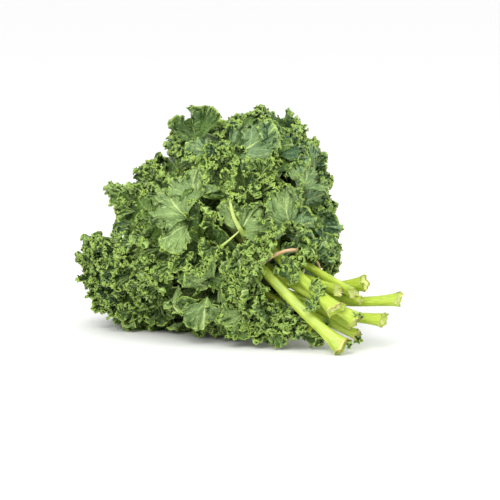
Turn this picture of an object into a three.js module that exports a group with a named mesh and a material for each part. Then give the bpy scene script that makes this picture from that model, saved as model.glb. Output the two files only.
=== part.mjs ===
// A bunch of curly kale lying on a table, in millimetres, +Z up.
//
// Twelve leaves are gathered in a rubber band. Their cut stalks splay towards +X and lean on the table,
// and their blades arch back into a dome of foliage whose underside is pressed flat by the table.
// The origin is on the table under the middle of the bunch.
//
// Every leaf is a stalk, which runs on as the leaf's midrib, and a blade with lobes, folds and crimps.
// A blade keeps to its own sector and depth of the dome, so that no two leaves cross.

import * as THREE from "three";

// ---- Driving dimensions -------------------------------------------------------------------------

const TIE_CENTRE = new THREE.Vector3(70.2, 13.3, 57.5); // middle of the rubber band
const AXIS_FALL = THREE.MathUtils.degToRad(25); // how steeply the bunch slopes down towards its stalks
const DOME_DISTANCE = 110; // from the band to the middle of the foliage

// The dome of foliage: half its breadth, half its height, and how square it is (2 would be round).
const DOME = { breadth: 111, height: 120, squareness: 2.6 };
const SPREAD = 0.1; // how much further the foliage spreads where it meets the table
const DOME_SIZE = 101; // depth in the dome, from its middle, at which a leaf meets that outline
const TABLE_DEPTH = 98; // depth at which a leaf under the dome meets the table
const TABLE_BLEND = 14; // how sharply the dome turns in towards the table
const COLLAR_BLEND = 12; // how sharply the collar turns into the dome

const BLADE_THICKNESS = 0.8;
const STEEPEST = 0.6; // cosine of the steepest fold that still gets its full thickness
const RIB_GAP = 1.6; // clearance between a midrib and the blade under it
const LOBES = 4; // lobes on each side of a blade
const NOTCH = 0.24; // depth of the cuts between lobes, as a share of the half width
const SWEEP = 0.1; // how far the lobes slant towards the tip
const CUP = 4; // hollow between midrib and margin
const FOLD = 8; // height of the one fold that each lobe has
const CRIMP = 3.4; // height of the three crimps on each lobe's edge

const SECTION_POINTS = 8; // points round a stalk
const FLARE_LENGTH = 26; // how much of a stalk's foot widens towards the cut

const BAND = { radius: 41, width: 3.2, thickness: 1.6, segments: 32 };

// The layers of leaves from the outside of the dome inwards: depth, polar angle at which a blade begins,
// columns of a blade, how deeply it is ruffled, breadth of its stalk, how square it is towards the table,
// and, for the outer leaves, how near the bunch's axis they come where they pass outside the band.
const OUTER = { depth: 97, base: 24, columns: 40, ruffle: 1, stalk: 11.5, squareBelow: 7, collar: 56 };
const MIDDLE = { depth: 67, base: 24, columns: 28, ruffle: 0.75, stalk: 10.4, squareBelow: 2.2 };
const INNER = { depth: 36, base: 24, columns: 18, ruffle: 0.4, stalk: 7.4, squareBelow: 2.2 };

// A leaf's midrib cuts the corner inside the dome before it comes to the surface.
const CORNER = { polar: THREE.MathUtils.degToRad(45), spread: THREE.MathUtils.degToRad(24), share: 0.14 };
const SURFACING = [THREE.MathUtils.degToRad(60), THREE.MathUtils.degToRad(95)];

// Each leaf: where its blade stands round the dome's axis (0 is up, 90 is towards -Y) and the half width
// of its sector, how far its tip reaches and flares out, where its stalk passes through the band (distance
// and angle) and is cut (both from the band's middle), and how much the cut foot widens.
const LEAVES = [
  {
    layer: OUTER, azimuth: 18, sector: 30, reach: 134, flare: 6,
    tie: [30, 15], cut: [79, 11.8, -13.4], foot: 0.6,
  },
  {
    layer: OUTER, azimuth: 76, sector: 27, reach: 134, flare: 2,
    tie: [30, 53], cut: [82.4, 17.9, -50.2], foot: 0.7,
  },
  {
    layer: OUTER, azimuth: 130.5, sector: 28, reach: 124, flare: 52,
    tie: [30, 136], cut: [41.7, 11.6, -39.2], foot: 0.2,
  },
  {
    layer: OUTER, azimuth: 193.5, sector: 33, reach: 134, flare: 0,
    tie: [30, 195], cut: [84.7, 62.2, -26.5], foot: 0.35,
  },
  {
    layer: OUTER, azimuth: 260, sector: 32, reach: 138, flare: 4,
    tie: [30, 263], cut: [63.8, 53.5, 7.5], foot: 0.25,
  },
  {
    layer: OUTER, azimuth: 320, sector: 27, reach: 132, flare: 2,
    tie: [30, 316], cut: [69.2, 37.3, -1.1], foot: 0.2,
  },
  {
    layer: MIDDLE, azimuth: 48, sector: 43, reach: 150, flare: 14,
    tie: [16.5, 38], cut: [84.1, 32.2, -24], foot: 0.35,
  },
  {
    layer: MIDDLE, azimuth: 138, sector: 43, reach: 150, flare: 20,
    tie: [16.5, 140], cut: [68.7, 42.5, -42.7], foot: 0.4,
  },
  {
    layer: MIDDLE, azimuth: 228, sector: 43, reach: 150, flare: 20,
    tie: [16.7, 225], cut: [88.3, 77.1, -7], foot: 0.35,
  },
  {
    layer: MIDDLE, azimuth: 318, sector: 43, reach: 150, flare: 20,
    tie: [16.5, 318], cut: [64.7, 22.7, 2], foot: 0.25,
  },
  {
    layer: INNER, azimuth: 100, sector: 84, reach: 158, flare: 14,
    tie: [5, 100], cut: [71.8, 33.2, -31.8], foot: 0.25,
  },
  {
    layer: INNER, azimuth: 280, sector: 84, reach: 158, flare: 14,
    tie: [5, 279], cut: [67.5, 46.7, -9.1], foot: 0.2,
  },
];

// Small leaves among the stalks, from the band's middle: where each is rooted, its tip, which way its
// breadth runs, half its breadth, how high its edge is frilled and how many columns it has.
const LEAFLETS = [
  { base: [29, -20, 19], tip: [47, 2, 27], across: [-0.4, 0.1, 1], half: 11, frill: 2.4, columns: 8 },
  { base: [58, -10, -1], tip: [70, 6, 4], across: [-0.4, 0.1, 1], half: 8, frill: 1.8, columns: 7 },
  { base: [6, -32, -15], tip: [6, -42, -55], across: [0.5, 0.87, 0], half: 21, frill: 3.6, columns: 9 },
  { base: [24, -13, -17], tip: [36, -17, -54], across: [0.5, 0.87, 0], half: 18, frill: 3.2, columns: 8 },
  { base: [39, 0, -46], tip: [60, 22, -50], across: [-0.3, 0.2, 1], half: 7, frill: 1.6, columns: 7 },
];

const STALK_COLOUR = 0xb9cf5a;
const BLADE_COLOUR = 0x4f7a35;
const BAND_COLOUR = 0xd9ab86;

// ---- The dome of foliage ------------------------------------------------------------------------

const { cos, sin, PI } = Math;
const { smoothstep, degToRad, lerp, clamp } = THREE.MathUtils;

const toStalks = new THREE.Vector3(cos(AXIS_FALL), 0, -sin(AXIS_FALL));
const up = new THREE.Vector3(sin(AXIS_FALL), 0, cos(AXIS_FALL));
const side = new THREE.Vector3(0, -1, 0);
const domeCentre = TIE_CENTRE.clone().addScaledVector(toStalks, -DOME_DISTANCE);

// Distance from the dome's middle to its outline in a direction, with the table under it.
function outline(direction, squareBelow) {
  const { breadth, height } = DOME;
  const squareness = direction.z > 0 ? DOME.squareness : squareBelow;
  const spread = 1 + SPREAD * smoothstep(-direction.z, 0, 1);
  const level = Math.hypot(direction.x, direction.y) / (breadth * spread);
  const upright = Math.abs(direction.z) / height;
  const rounded = Math.pow(level ** squareness + upright ** squareness, 1 / squareness);
  const floor = (Math.max(-direction.z, 0) / domeCentre.z) * (TABLE_DEPTH / DOME_SIZE);
  return Math.pow(rounded ** TABLE_BLEND + floor ** TABLE_BLEND, -1 / TABLE_BLEND);
}

// A point of a layer of the dome: polar angle from the band's side, azimuth round the axis, height above
// the layer, and how much it keeps to the inset course of a midrib (0 to 1).
function domePoint(layer, polar, azimuth, height, inset) {
  const direction = new THREE.Vector3()
    .addScaledVector(toStalks, cos(polar))
    .addScaledVector(up, sin(polar) * cos(azimuth))
    .addScaledVector(side, sin(polar) * sin(azimuth));
  const round = (layer.depth / DOME_SIZE) * outline(direction, layer.squareBelow) + height;
  const collared = layer.collar ? (layer.collar + height) / sin(polar) : 0;
  const surface = Math.pow(round ** COLLAR_BLEND + collared ** COLLAR_BLEND, 1 / COLLAR_BLEND);
  const cut = CORNER.share * Math.exp(-(((polar - CORNER.polar) / CORNER.spread) ** 2));
  const corner = layer.depth * (1 - cut) + height;
  const inside = inset * (1 - smoothstep(polar, ...SURFACING));
  const table = (domeCentre.z - BLADE_THICKNESS / 2) / Math.max(-direction.z, 1e-6);
  const distance = Math.min(lerp(surface, corner, inside), table);
  return domeCentre.clone().addScaledVector(direction, distance);
}

// ---- Sheets and rods ----------------------------------------------------------------------------

function solidGeometry(positions, index) {
  const geometry = new THREE.BufferGeometry();
  geometry.setAttribute("position", new THREE.Float32BufferAttribute(positions, 3));
  geometry.setIndex(index);
  geometry.computeVertexNormals();
  return geometry;
}

// A closed sheet on a grid of {point, normal}, its two faces split into triangles alike. The normals are
// those of the smooth surface below the folds, so the faces never cross; a steep fold is thickened to suit.
function sheet(grid, thickness) {
  const columns = grid.length;
  const rows = grid[0].length;
  const at = (i, j) => grid[clamp(i, 0, columns - 1)][clamp(j, 0, rows - 1)];
  const positions = [];
  for (const face of [0.5, -0.5]) {
    for (let i = 0; i < columns; i++) {
      for (let j = 0; j < rows; j++) {
        const { point, normal } = at(i, j);
        const along = at(i + 1, j).point.clone().sub(at(i - 1, j).point);
        const across = at(i, j + 1).point.clone().sub(at(i, j - 1).point);
        const steepness = Math.abs(along.cross(across).normalize().dot(normal));
        const reach = (face * thickness) / Math.max(steepness, STEEPEST);
        const place = point.clone().addScaledVector(normal, reach);
        positions.push(place.x, place.y, Math.max(place.z, 0));
      }
    }
  }
  const back = columns * rows;
  const index = [];
  const quad = (a, b, c, d) => index.push(a, b, c, a, c, d);
  for (let i = 0; i < columns - 1; i++) {
    for (let j = 0; j < rows - 1; j++) {
      const a = i * rows + j;
      const [b, c, d] = [a + rows, a + rows + 1, a + 1];
      quad(a, b, c, d);
      index.push(back + a, back + c, back + b, back + a, back + d, back + c);
    }
  }
  const rim = [];
  for (let i = 0; i < columns; i++) rim.push(i * rows);
  for (let j = 1; j < rows; j++) rim.push((columns - 1) * rows + j);
  for (let i = columns - 2; i >= 0; i--) rim.push(i * rows + rows - 1);
  for (let j = rows - 2; j > 0; j--) rim.push(j);
  rim.forEach((a, k) => {
    const b = rim[(k + 1) % rim.length];
    quad(b, a, back + a, back + b);
  });
  return solidGeometry(positions, index);
}

// A closed rod through stations {centre, across, out, width, thickness}: rounded on its outer side,
// slightly grooved on its inner side, with hollowed ends.
function rod(stations) {
  const positions = [];
  const place = (station, x, y) => {
    const { centre, across, out, width, thickness } = station;
    const point = centre.clone().addScaledVector(across, (x * width) / 2);
    positions.push(...point.addScaledVector(out, (y * thickness) / 2));
  };
  const depthAt = (s) => (s > -0.1 ? 1 : s < -0.9 ? 0.22 : 0.55);
  const n = SECTION_POINTS;
  for (const station of stations) {
    for (let k = 0; k < n; k++) {
      const [x, y] = [cos((2 * PI * k) / n), sin((2 * PI * k) / n)];
      place(station, x, y * depthAt(y));
    }
  }
  const index = [];
  for (let i = 0; i < stations.length - 1; i++) {
    for (let k = 0; k < n; k++) {
      const a = i * n + k;
      const b = i * n + ((k + 1) % n);
      index.push(a, b, b + n, a, b + n, a + n);
    }
  }
  [0, stations.length - 1].forEach((ring, e) => {
    const centre = positions.length / 3;
    place(stations[ring], 0, 0.15);
    for (let k = 0; k < n; k++) {
      const [a, b] = [ring * n + k, ring * n + ((k + 1) % n)];
      index.push(...(e ? [a, b, centre] : [b, a, centre]));
    }
  });
  return solidGeometry(positions, index);
}

// ---- Blades -------------------------------------------------------------------------------------

const ROWS = [0, 0.4, 0.75, 1]; // from the midrib's edge to the margin
const RIB_END = 0.86; // how far along the blade its midrib stands out
const RIB_SHARE = 0.29; // share of a sector over which the blade stays down with its midrib
const STEP = 0.01;

const ribWidth = (leaf, u) => lerp(0.74, 0.14, Math.pow(u, 0.7)) * leaf.layer.stalk;
const ribThickness = (leaf, u) => 0.75 * ribWidth(leaf, u);
const ribHeight = (leaf, u) => leaf.flare * smoothstep(u, 0.5, 1);

// Polar angle at u along the midrib, some share of the sector away: the lobes slant towards the tip.
function polarAt(leaf, u, share) {
  const base = degToRad(leaf.layer.base);
  const span = degToRad(leaf.reach) - base;
  return base + span * (u + SWEEP * (1 - u) * share);
}

// Half the blade's width at u, as a share of its sector: rounded ends, and notches between the lobes.
function halfWidth(u) {
  const rounded = Math.pow(sin(PI * (0.1 + 0.83 * u)), 0.25);
  const notch = Math.pow(0.5 + 0.5 * cos(2 * PI * LOBES * u), 3);
  return rounded * (1 - NOTCH * notch * smoothstep(u, 0, 0.15));
}

// How far the blade stands out from its layer: hollow behind the midrib, folded once and crimped three
// times for each lobe, most of all at the margin.
function relief(leaf, u, v, hand) {
  const turn = 2 * PI * LOBES * u;
  const swing = 1 + 0.35 * sin(5 * u + leaf.azimuth);
  const fold = FOLD * swing * Math.pow(v, 1.4) * sin(turn + hand * 1.3 + leaf.azimuth);
  const crimp = CRIMP * Math.pow(v, 3) * sin(3 * turn - hand * 0.9);
  const ruffle = leaf.layer.ruffle * smoothstep(u, -0.1, 0.15);
  return ruffle * (fold + crimp) - CUP * sin(PI * v) * smoothstep(u, 0, 0.2);
}

// A point of a leaf: u along the midrib, a share of the sector to one side (hand -1 or 1), some height
// above the surface that its midrib and lobes lie in.
function leafPoint(leaf, u, share, hand, height) {
  const azimuth = degToRad(leaf.azimuth + hand * share * leaf.sector);
  const inset = Math.pow(clamp((1 - share) / (1 - RIB_SHARE), 0, 1), 2.5);
  return domePoint(leaf.layer, polarAt(leaf, u, share), azimuth, ribHeight(leaf, u) + height, inset);
}

function bladePoint(leaf, u, v, hand) {
  const ringRadius = leaf.layer.depth * sin(polarAt(leaf, u, 0));
  const ribEdge = Math.min(0.5, (ribWidth(leaf, u) / 2 + 0.8) / (ringRadius * degToRad(leaf.sector)));
  const share = lerp(ribEdge, halfWidth(u), v);
  const behindRib = 0.23 * ribThickness(leaf, u) + RIB_GAP + BLADE_THICKNESS / 2;
  const height = relief(leaf, u, v, hand) - behindRib;
  const near = (du, dShare) => leafPoint(leaf, u + du, share + dShare * hand, hand, height);
  const normal = near(STEP, 0).sub(near(-STEP, 0)).cross(near(0, STEP).sub(near(0, -STEP))).normalize();
  return { point: leafPoint(leaf, u, share, hand, height), normal };
}

function bladeGeometry(leaf) {
  const columns = leaf.layer.columns;
  const grid = [];
  for (let i = 0; i <= columns; i++) {
    const u = i / columns;
    const left = [...ROWS].reverse().map((v) => bladePoint(leaf, u, v, -1));
    const right = ROWS.map((v) => bladePoint(leaf, u, v, 1));
    grid.push([...left, ...right]);
  }
  return sheet(grid, BLADE_THICKNESS);
}

// ---- Small leaves -------------------------------------------------------------------------------

const LEAFLET_ROWS = [-1, -0.6, 0, 0.6, 1]; // from margin to margin
const LEAFLET_FRILLS = 2.5; // frills along each edge
const LEAFLET_ARCH = 0.12; // how far a small leaf bows out, as a share of its length

function leafletGeometry({ base, tip, across, half, frill, columns }) {
  const root = TIE_CENTRE.clone().add(new THREE.Vector3(...base));
  const length = new THREE.Vector3(...tip).sub(new THREE.Vector3(...base));
  const along = length.clone().normalize();
  const breadth = new THREE.Vector3(...across);
  breadth.addScaledVector(along, -breadth.dot(along)).normalize();
  const normal = along.clone().cross(breadth);
  const grid = [];
  for (let i = 0; i < columns; i++) {
    const u = i / (columns - 1);
    const turn = 2 * PI * LEAFLET_FRILLS * u;
    const notch = Math.pow(0.5 + 0.5 * cos(turn), 2) * smoothstep(u, 0, 0.3);
    const reach = half * Math.pow(sin(PI * (0.12 + 0.8 * u)), 0.7) * (1 - NOTCH * notch);
    const bow = LEAFLET_ARCH * length.length() * sin(PI * u);
    const row = LEAFLET_ROWS.map((v) => {
      const height = bow + frill * v * v * sin(turn + 1.3 * v);
      const point = root.clone().addScaledVector(length, u).addScaledVector(breadth, v * reach);
      return { point: point.addScaledVector(normal, height), normal };
    });
    grid.push(row);
  }
  return sheet(grid, BLADE_THICKNESS);
}

// ---- Stalks -------------------------------------------------------------------------------------

const PETIOLE_STATIONS = [0, 0.12, 0.26, 0.6, 1]; // from the cut to the band
const NECK_STATIONS = [0.33, 0.67]; // from the band to the blade
const NECK_STIFFNESS = 0.35;

function atTie(distance, angle) {
  const turn = degToRad(angle);
  const across = up.clone().multiplyScalar(cos(turn)).addScaledVector(side, sin(turn));
  return TIE_CENTRE.clone().addScaledVector(across, distance);
}

function stalkGeometry(leaf) {
  const cut = TIE_CENTRE.clone().add(new THREE.Vector3(...leaf.cut));
  const tie = atTie(...leaf.tie);
  const ribAlong = [];
  for (let i = 0; i < RIB_END * leaf.layer.columns; i += 2) ribAlong.push(i / leaf.layer.columns);
  const rib = ribAlong.map((u) => leafPoint(leaf, u, 0, 1, 0));
  const reach = tie.distanceTo(rib[0]) * NECK_STIFFNESS;
  const heading = tie.clone().sub(cut).normalize().lerp(toStalks.clone().negate(), 0.5).normalize();
  const leaving = tie.clone().addScaledVector(heading, reach);
  const arriving = rib[0].clone().addScaledVector(rib[0].clone().sub(rib[1]).normalize(), reach);
  const neck = new THREE.CubicBezierCurve3(tie, leaving, arriving, rib[0]);
  const knots = [
    ...PETIOLE_STATIONS.map((t) => cut.clone().lerp(tie, t)),
    ...NECK_STATIONS.map((t) => neck.getPoint(t)),
    ...rib,
  ];
  const firstRib = knots.length - rib.length;
  const outAtTie = tie.clone().sub(TIE_CENTRE).normalize();
  const stations = knots.map((centre, i) => {
    const before = knots[Math.max(0, i - 1)];
    const after = knots[Math.min(knots.length - 1, i + 1)];
    const along = after.clone().sub(before).normalize();
    const onDome = clamp((i - PETIOLE_STATIONS.length + 1) / (NECK_STATIONS.length + 1), 0, 1);
    const out = outAtTie.clone().lerp(centre.clone().sub(domeCentre).normalize(), onDome);
    out.addScaledVector(along, -out.dot(along)).normalize();
    const across = out.clone().cross(along).normalize();
    const inRib = i >= firstRib;
    const u = inRib ? ribAlong[i - firstRib] : 0;
    const cutShare = Math.max(0, 1 - centre.distanceTo(cut) / FLARE_LENGTH);
    const flare = 1 + leaf.foot * Math.pow(cutShare, 1.5);
    const width = inRib ? ribWidth(leaf, u) : lerp(1, 0.8, i / firstRib) * leaf.layer.stalk * flare;
    const thickness = inRib ? ribThickness(leaf, u) : (0.78 * width) / Math.sqrt(flare);
    return { centre, across, out, width, thickness };
  });
  return rod(stations);
}

// ---- Rubber band --------------------------------------------------------------------------------

function bandGeometry() {
  const { radius, width, thickness, segments } = BAND;
  const profile = [[-0.5, -0.5], [0.5, -0.5], [0.5, 0.5], [-0.5, 0.5]];
  const positions = [];
  for (let i = 0; i < segments; i++) {
    for (const [x, r] of profile) {
      const point = atTie(radius + r * thickness, (360 * i) / segments);
      positions.push(...point.addScaledVector(toStalks, x * width));
    }
  }
  const n = profile.length;
  const index = [];
  for (let i = 0; i < segments; i++) {
    const next = (i + 1) % segments;
    for (let k = 0; k < n; k++) {
      const [a, b] = [i * n + k, i * n + ((k + 1) % n)];
      const [c, d] = [next * n + ((k + 1) % n), next * n + k];
      index.push(a, b, c, a, c, d);
    }
  }
  return solidGeometry(positions, index);
}

// ---- The bunch ----------------------------------------------------------------------------------

const material = (color, roughness) => new THREE.MeshStandardMaterial({ color, roughness, metalness: 0 });

function piece(name, geometry, surface) {
  const mesh = new THREE.Mesh(geometry, surface);
  mesh.name = name;
  return mesh;
}

const bunch = new THREE.Group();
LEAVES.forEach((leaf, i) => {
  const name = `leaf_${String(i + 1).padStart(2, "0")}`;
  bunch.add(piece(`${name}_stalk`, stalkGeometry(leaf), material(STALK_COLOUR, 0.45)));
  bunch.add(piece(`${name}_blade`, bladeGeometry(leaf), material(BLADE_COLOUR, 0.6)));
});
LEAFLETS.forEach((leaflet, i) => {
  const name = `leaflet_${String(i + 1).padStart(2, "0")}`;
  bunch.add(piece(name, leafletGeometry(leaflet), material(BLADE_COLOUR, 0.6)));
});
bunch.add(piece("rubber_band", bandGeometry(), material(BAND_COLOUR, 0.55)));

export default bunch;
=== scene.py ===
import math

import bmesh
import bpy
import numpy as np
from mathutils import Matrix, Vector


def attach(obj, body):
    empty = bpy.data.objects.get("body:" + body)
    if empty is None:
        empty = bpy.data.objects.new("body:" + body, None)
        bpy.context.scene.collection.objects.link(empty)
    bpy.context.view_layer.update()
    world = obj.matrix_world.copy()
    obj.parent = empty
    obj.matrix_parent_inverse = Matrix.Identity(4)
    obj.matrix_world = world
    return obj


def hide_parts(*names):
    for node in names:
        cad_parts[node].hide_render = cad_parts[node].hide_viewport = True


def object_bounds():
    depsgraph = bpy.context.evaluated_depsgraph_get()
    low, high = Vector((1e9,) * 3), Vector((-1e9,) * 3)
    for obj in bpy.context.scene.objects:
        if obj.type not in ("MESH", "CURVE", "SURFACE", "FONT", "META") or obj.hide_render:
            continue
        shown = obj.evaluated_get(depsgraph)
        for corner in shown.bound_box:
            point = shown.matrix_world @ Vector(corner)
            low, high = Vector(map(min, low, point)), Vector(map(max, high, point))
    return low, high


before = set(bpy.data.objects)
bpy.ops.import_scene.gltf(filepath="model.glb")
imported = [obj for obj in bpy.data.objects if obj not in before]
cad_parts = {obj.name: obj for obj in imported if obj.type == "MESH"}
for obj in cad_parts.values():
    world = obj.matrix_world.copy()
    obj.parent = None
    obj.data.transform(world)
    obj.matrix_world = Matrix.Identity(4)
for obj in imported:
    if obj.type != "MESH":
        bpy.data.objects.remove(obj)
cad_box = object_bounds()

# A bunch of curly kale lying on a table. Twelve leaves are gathered in a rubber band. Their cut stalks
# splay towards +X, and their frilled blades arch back into a dome of foliage. Forms are worked out in
# millimetres, +Z up, and made in metres.

MM = 0.001

# ---- Form of the bunch ----

TIE_CENTRE = np.array([70.2, 13.3, 57.5])  # middle of the rubber band
AXIS_FALL = math.radians(25)  # slope of the bunch down towards its stalks
DOME_DISTANCE = 110  # from the band to the middle of the foliage
BREADTH, HEIGHT, SQUARENESS = 111, 120, 2.6  # half breadth, half height and squareness of the dome
SPREAD = 0.1  # how much further the foliage spreads where it meets the table
DOME_SIZE = 101  # depth in the dome, from its middle, at which a leaf meets that outline
TABLE_DEPTH = 98  # depth at which a leaf under the dome meets the table
TABLE_BLEND = 14  # how sharply the dome turns in towards the table
COLLAR_BLEND = 12  # how sharply the collar round the neck turns into the dome

BLADE_THICKNESS = 0.8  # of the solid model's blades
LEAF_THICKNESS = 0.55  # of the leaves here
RIB_GAP = 1.6  # clearance between a midrib and the blade under it
RIB_SHARE = 0.29  # share of the half width within which a blade follows its midrib inside the dome
LOBES = 4  # on each side of a blade
NOTCH = 0.24  # depth of the cuts between lobes, as a share of the half width
SWEEP = 0.1  # how far the lobes slant towards the tip
CUP = 4  # hollow between midrib and margin
FOLD = 8  # height of the one fold that each lobe has
DROOP_FOLD = 0.4  # the same on the drooping leaf, as a share
DROOP_SINK = 8  # how far the drooping blade lies below its layer, under its lobes
DROOP_FLARE = 40  # a leaf that flares further than this droops

# A leaf's midrib cuts the corner inside the dome before it comes to the surface
CORNER_POLAR, CORNER_SPREAD, CORNER_SHARE = math.radians(45), math.radians(24), 0.14
SURFACING = (math.radians(60), math.radians(95))

# The layers of leaves from the outside of the dome inwards: depth, polar angle at which a blade begins,
# how deeply it is ruffled, breadth of its stalk, how square it is towards the table, and how near the
# bunch's axis an outer leaf comes where it passes outside the band
LAYERS = {
    "outer": dict(depth=97, base=24, ruffle=1, stalk=11.5, square_below=7, collar=56),
    "middle": dict(depth=67, base=24, ruffle=0.75, stalk=10.4, square_below=2.2, collar=0),
    "inner": dict(depth=36, base=24, ruffle=0.4, stalk=7.4, square_below=2.2, collar=0),
}

# Each leaf: its layer, where its blade stands round the dome's axis (0 is up, 90 is towards -Y), the half
# width of its sector, how far its tip reaches and flares out, where its stalk passes through the band
# (distance and angle) and is cut (from the band's middle), and how much the cut foot widens
LEAVES = [
    ("outer", 18, 30, 134, 6, (30, 15), (79, 11.8, -13.4), 0.6),
    ("outer", 76, 27, 134, 2, (30, 53), (82.4, 17.9, -50.2), 0.7),
    ("outer", 130.5, 28, 124, 43, (30, 136), (41.7, 11.6, -39.2), 0.2),
    ("outer", 193.5, 33, 134, 0, (30, 195), (84.7, 62.2, -26.5), 0.35),
    ("outer", 260, 32, 138, 4, (30, 263), (63.8, 53.5, 7.5), 0.25),
    ("outer", 320, 27, 132, 2, (30, 316), (69.2, 37.3, -1.1), 0.2),
    ("middle", 48, 43, 150, 14, (16.5, 38), (84.1, 32.2, -24), 0.35),
    ("middle", 138, 43, 150, 20, (16.5, 140), (68.7, 42.5, -42.7), 0.4),
    ("middle", 228, 43, 150, 20, (16.7, 225), (88.3, 77.1, -7), 0.35),
    ("middle", 318, 43, 150, 20, (16.5, 318), (64.7, 22.7, 2), 0.25),
    ("inner", 100, 84, 158, 14, (5, 100), (71.8, 33.2, -31.8), 0.25),
    ("inner", 280, 84, 158, 14, (5, 279), (67.5, 46.7, -9.1), 0.2),
]

# Small leaves among the stalks: root, tip, direction of the breadth, half breadth
LEAFLETS = [
    ((29, -20, 19), (47, 2, 27), (-0.4, 0.1, 1), 13),
    ((58, -10, -1), (70, 6, 4), (-0.4, 0.1, 1), 10),
    ((6, -32, -12), (6, -42, -49), (0.5, 0.87, 0), 24),
    ((24, -13, -15), (36, -17, -47), (0.5, 0.87, 0), 20),
    ((37, 0, -40), (56, 20, -42), (-0.3, 0.2, 1), 9),
]

FLOOR_SKIN = 0.4  # the lowest foliage stays this far above the surface
SINK = 13  # how far the blades lie below the tips of the lobes that stand out of them

# The bunch's own directions
to_stalks = np.array([math.cos(AXIS_FALL), 0, -math.sin(AXIS_FALL)])
upward = np.array([math.sin(AXIS_FALL), 0, math.cos(AXIS_FALL)])
sideways = np.array([0.0, -1.0, 0.0])
dome_centre = TIE_CENTRE - DOME_DISTANCE * to_stalks

# The broad view of the bunch, in which single lobes are placed: out of it, to its right and up in it
VIEW_AZIMUTH, VIEW_ELEVATION = math.radians(60), math.radians(8)
level_toward = np.array([math.sin(VIEW_AZIMUTH), -math.cos(VIEW_AZIMUTH), 0])
toward = math.cos(VIEW_ELEVATION) * level_toward + [0, 0, math.sin(VIEW_ELEVATION)]
view_right = np.array([math.cos(VIEW_AZIMUTH), math.sin(VIEW_AZIMUTH), 0])
view_up = np.cross(toward, view_right)


def smoothstep(x, low, high):
    t = np.clip((np.asarray(x, float) - low) / (high - low), 0, 1)
    return t * t * (3 - 2 * t)


def lerp(a, b, t):
    return a + (b - a) * t


def unit(v):
    return v / np.maximum(np.linalg.norm(v, axis=-1, keepdims=True), 1e-9)


def moved(points, *moves):
    """Points, moved by some amounts along some ways."""
    for amount, way in moves:
        points = points + amount[..., None] * way
    return points


def turned(a, b, angle):
    """The way a, turned towards b by an angle."""
    return math.cos(angle) * a + math.sin(angle) * b


def tie_point(distance, angle):
    return TIE_CENTRE + distance * turned(upward, sideways, math.radians(angle))


def outline(direction, square_below):
    """Distance from the dome's middle to its outline, with the table under it."""
    z = direction[..., 2]
    squareness = np.where(z > 0, SQUARENESS, square_below)
    spread = 1 + SPREAD * smoothstep(-z, 0, 1)
    level = np.hypot(direction[..., 0], direction[..., 1]) / (BREADTH * spread)
    upright = np.abs(z) / HEIGHT
    rounded = (level**squareness + upright**squareness) ** (1 / squareness)
    floor = np.maximum(-z, 0) / dome_centre[2] * (TABLE_DEPTH / DOME_SIZE)
    return (rounded**TABLE_BLEND + floor**TABLE_BLEND) ** (-1 / TABLE_BLEND)


def dome_point(layer, polar, azimuth, height, inset):
    """A point of a layer of the dome, as in the solid model."""
    polar, azimuth, height, inset = np.broadcast_arrays(polar, azimuth, height, inset)
    ring = np.sin(polar)
    ways = (np.cos(polar), to_stalks), (ring * np.cos(azimuth), upward), (ring * np.sin(azimuth), sideways)
    direction = moved(0, *ways)
    surface = (layer["depth"] / DOME_SIZE) * outline(direction, layer["square_below"]) + height
    if layer["collar"]:
        collared = (layer["collar"] + height) / ring
        surface = (surface**COLLAR_BLEND + collared**COLLAR_BLEND) ** (1 / COLLAR_BLEND)
    cut = CORNER_SHARE * np.exp(-(((polar - CORNER_POLAR) / CORNER_SPREAD) ** 2))
    corner = layer["depth"] * (1 - cut) + height
    inside = inset * (1 - smoothstep(polar, *SURFACING))
    table = (dome_centre[2] - BLADE_THICKNESS / 2) / np.maximum(-direction[..., 2], 1e-6)
    distance = np.minimum(lerp(surface, corner, inside), table)
    return moved(dome_centre, (distance, direction))


class Leaf:
    """One leaf's place in the dome, with the run of its midrib and the shape of its blade's layer."""

    def __init__(self, number, layer, azimuth, sector, reach, flare, tie, cut, foot):
        self.number = number
        self.name = f"leaf_{number:02d}"
        self.layer = LAYERS[layer]
        self.kind = layer
        self.azimuth, self.sector, self.reach, self.flare = azimuth, sector, reach, flare
        self.tie, self.cut, self.foot = tie, np.array(cut, float), foot
        self.droops = flare > DROOP_FLARE

    def rib_width(self, u):
        return lerp(0.74, 0.14, np.power(u, 0.7)) * self.layer["stalk"]

    def rib_height(self, u):
        return self.flare * smoothstep(u, 0.5, 1)

    def polar_at(self, u, share):
        base = math.radians(self.layer["base"])
        span = math.radians(self.reach) - base
        return base + span * (u + SWEEP * (1 - u) * share)

    def point(self, u, share, hand, height):
        """u along the midrib, a share of the sector to one side (hand), height above the layer."""
        azimuth = np.radians(self.azimuth + hand * share * self.sector)
        inset = np.clip((1 - share) / (1 - RIB_SHARE), 0, 1) ** 2.5
        polar = self.polar_at(u, share)
        return dome_point(self.layer, polar, azimuth, self.rib_height(u) + height, inset)


leaves = [Leaf(i + 1, *row) for i, row in enumerate(LEAVES)]


# ---- Frilled sheets ----


def normals_of(points):
    along = np.gradient(points, axis=0)
    across = np.gradient(points, axis=1)
    return unit(np.cross(along, across)), unit(along)


def ripples(distance, inward, length, rng):
    """A smooth random field over a sheet, with features a little larger than a length."""
    field = 0
    for _ in range(6):
        turn = rng.uniform(0, 2 * np.pi)
        size = length * rng.uniform(1.1, 2.6)
        offset = rng.uniform(0, 2 * np.pi)
        along = distance * np.cos(turn) + inward * np.sin(turn)
        field = field + np.sin(2 * np.pi * along / size + offset)
    return field / math.sqrt(3)


def run_of(points):
    """How far each point of a line is along it."""
    return np.concatenate([[0], np.cumsum(np.linalg.norm(np.diff(points, axis=0), axis=-1))])


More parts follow.
